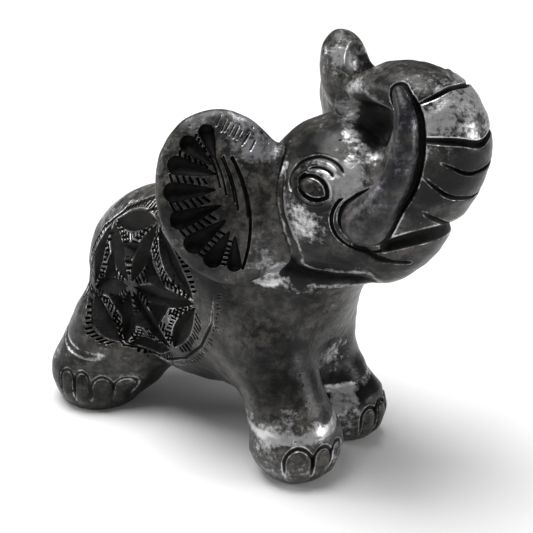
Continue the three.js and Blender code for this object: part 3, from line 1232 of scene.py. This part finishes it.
shell_clay = clay("burnished_clay", (0.006, 0.006, 0.006), (0.60, 0.60, 0.61), 0.31)
ear_clay = clay("carved_clay", (0.006, 0.006, 0.0065), (0.42, 0.42, 0.44), 0.33)
tusk_clay = clay("silvered_clay", (0.010, 0.010, 0.013), (0.26, 0.25, 0.30), 0.30)
print("clays:", [m.name for m in (shell_clay, ear_clay, tusk_clay)])

# %% [markdown]
# ## Cutting the surface
#
# A piece is refined where the carving is fine, and then every point is pushed in by the depth of its
# cut. Edges that run from a cut's floor to its rim are split once more, so that the rims stay crisp.
# The base value is the dull shine that clay gets where it wasn't rubbed with care.


# %% Cutting the surface
STEEP_STEP = 0.07
BASE_BURNISH = 0.24


def cut_surface(field, points, tris, depth_of, ink_of, region, rounds):
    for n in range(rounds):
        close = region(points)
        if n > 0:
            depth = depth_of(points)
            sides = np.concatenate([tris[:, [0, 1]], tris[:, [1, 2]], tris[:, [2, 0]]])
            rough = np.abs(depth[sides[:, 0]] - depth[sides[:, 1]]) > STEEP_STEP
            busy = np.zeros(len(points), bool)
            busy[sides[rough].ravel()] = True
            close = close & busy
        points, tris = split_where(field, points, tris, close)
    depth = depth_of(points)
    facing = slope(field, points)
    facing /= np.maximum(np.linalg.norm(facing, axis=1, keepdims=True), 1e-6)
    return points - facing * depth[:, None].astype(f32), tris, ink_of(points)


def make_mesh(name, points, tris, depth, extra_burnish=0.0):
    r = to_right(points)
    burnish = np.clip(BASE_BURNISH + extra_burnish + patches(r, POLISHED) - patches(r, UNRUBBED), 0, 1)
    mesh = bpy.data.meshes.new(name)
    mesh.from_pydata((points * MM).tolist(), [], tris.tolist())
    mesh.attributes.new("burnish", "FLOAT", "POINT").data.foreach_set("value", burnish.astype(f32))
    # The cut number holds the knife cuts and the painted shade of folds, toenails and hollows.
    mesh.attributes.new("cut", "FLOAT", "POINT").data.foreach_set("value", depth.astype(f32))
    return mesh


print("a rim is split again where its depth changes by more than, mm:", STEEP_STEP)

# %% [markdown]
# ## Halving and finishing
#
# The cut is made a hair off the mid-plane, so that the two halves never share a face. Each finished
# piece hides the frame's piece that it stands for, and is counted and measured.

# %% Halving and finishing
SEAM = 0.002 * MM
SHARP = math.radians(62)


def halve(mesh, sign):
    """Keeps one side of the mid-plane and closes the cut."""
    bm = bmesh.new()
    bm.from_mesh(mesh)
    done = bmesh.ops.bisect_plane(
        bm, geom=[*bm.verts, *bm.edges, *bm.faces], dist=1e-7,
        plane_co=(0, sign * SEAM, 0), plane_no=(0, sign, 0), clear_inner=True,
    )
    rim = [g for g in done["geom_cut"] if isinstance(g, bmesh.types.BMEdge)]
    bmesh.ops.triangle_fill(bm, use_beauty=True, use_dissolve=False, edges=rim, normal=(0, -sign, 0))
    bm.to_mesh(mesh)
    bm.free()


def finish_piece(name, mesh, node, material):
    mesh.set_sharp_from_angle(angle=SHARP)
    mesh.polygons.foreach_set("use_smooth", np.ones(len(mesh.polygons), bool))
    mesh.materials.append(material)
    piece = bpy.data.objects.new(name, mesh)
    bpy.context.scene.collection.objects.link(piece)
    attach(piece, "root")
    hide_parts(node)
    bm = bmesh.new()
    bm.from_mesh(mesh)
    open_edges = sum(1 for e in bm.edges if len(e.link_faces) != 2)
    volume = bm.calc_volume() / MM ** 3
    print(f"{name}: {len(mesh.polygons)} faces, {open_edges} open edges, {volume:.1f} mm3")
    bm.free()
    return piece


# %% [markdown]
# ## The two half shells
#
# The whole shell is meshed and carved once, then cut beside the mid-plane where the maker luted the
# halves, so that skin, wall and hollow meet across the seam with a gap far too thin to see.

# %% Half shells
SHELL_STEP = 0.62
points, tris = triangles_of(shell, (-54, -29, -1.5), (55, 29, 97), SHELL_STEP)
points, tris, depth = cut_surface(shell, points, tris, shell_cut, shell_matt_and_shade, shell_detail, 2)
whole = make_mesh("whole_shell", points, tris, depth)
for side, sign in (("right", -1), ("left", 1)):
    half = whole.copy()
    half.name = f"clay_shell_{side}"
    halve(half, sign)
    finish_piece(f"clay_shell_{side}", half, f"shell_{side}", shell_clay)
bpy.data.meshes.remove(whole)

# %% [markdown]
# ## Luted pieces
#
# The right-hand pieces are made first and mirrored for the left. Only the ear is carved.


# %% Ears, tusks, eyes and tail as meshes
def anywhere(p):
    return np.ones(len(p), bool)


def smooth_skin(p):
    return np.zeros(len(p))


def ear_ink(p):
    return ear_cut(to_right(p))


def ear_carving(p):
    return ear_ink(p) + thumb_dents(p)


LUTED = [
    ("ear", ear, (-6, -33, 42), (22, -7, 82), 0.32, 2),
    ("tusk", tusk, (28, -19, 53), (50, -4, 92), 0.36, 0),
    ("eye", eye, (19, -18, 66), (28, -11, 74), 0.16, 0),
]
CARVING = {
    "ear": (ear_carving, ear_ink),
    "tusk": (smooth_skin, smooth_skin),
    "eye": (smooth_skin, smooth_skin),
}
FINISH = {
    "ear": (ear_clay, "carved_clay", 0.0),
    "tusk": (tusk_clay, "silvered_clay", 0.05),
    "eye": (ear_clay, "carved_clay", 0.0),
}
for kind, field, low, high, step, rounds in LUTED:
    carving, ink = CARVING[kind]
    material, slot, extra = FINISH[kind]
    points, tris = triangles_of(field, low, high, step)
    points, tris, depth = cut_surface(field, points, tris, carving, ink, anywhere, rounds)
    for side, sign in (("right", 1), ("left", -1)):
        there = points * np.array([1, sign, 1], f32)
        mesh = make_mesh(f"clay_{kind}_{side}", there, tris[:, ::sign], depth, extra)
        finish_piece(f"clay_{kind}_{side}", mesh, f"{kind}_{side}", material)

points, tris = triangles_of(tail, (-56, -5, 15), (-40, 5, 50), 0.36)
tail_mesh = make_mesh("clay_tail", points, tris, np.zeros(len(points)))
finish_piece("clay_tail", tail_mesh, "tail", shell_clay)

# %% [markdown]
# ## Table and light
#
# A flat pale table under soft lights. Black burnished clay shows almost nothing but reflections, so the
# lights are discs: a wide one overhead, one at the left, and one low at the right for the trunk.


# %% Table and light
LIT_HEIGHT = 45 * MM
TABLE_REACH = 3.0
PALE = (0.93, 0.93, 0.93, 1)


def soft_light(name, place, size, power):
    data = bpy.data.lights.new(name, "AREA")
    data.shape = "DISK"
    data.size = size
    data.energy = power
    lamp = bpy.data.objects.new(name, data)
    lamp.location = place
    aim = Vector(place) - Vector((0, 0, LIT_HEIGHT))
    lamp.rotation_euler = aim.to_track_quat("Z", "Y").to_euler()
    bpy.context.scene.collection.objects.link(lamp)


soft_light("top_box", (-0.2, -0.1, 1.1), 0.9, 15)
soft_light("left_box", (-0.8, -0.6, 0.4), 0.4, 3.0)
soft_light("right_box", (0.8, 0.42, 0.20), 0.35, 3.4)

world = bpy.data.worlds.new("studio")
world.use_nodes = True
sky = world.node_tree.nodes["Background"]
sky.inputs["Color"].default_value = (1, 1, 1, 1)
sky.inputs["Strength"].default_value = 0.2
bpy.context.scene.world = world

floor_mesh = bpy.data.meshes.new("table")
corners = [(x * TABLE_REACH, y * TABLE_REACH, 0) for x, y in ((-1, -1), (1, -1), (1, 1), (-1, 1))]
floor_mesh.from_pydata(corners, [], [(0, 1, 2, 3)])
floor = bpy.data.objects.new("table", floor_mesh)
floor_paint = bpy.data.materials.new("pale_table")
floor_paint.use_nodes = True
floor_shader = floor_paint.node_tree.nodes["Principled BSDF"]
floor_shader.inputs["Base Color"].default_value = PALE
floor_shader.inputs["Roughness"].default_value = 0.9
floor_mesh.materials.append(floor_paint)
bpy.context.scene.collection.objects.link(floor)
bpy.context.scene.view_settings.view_transform = "Standard"
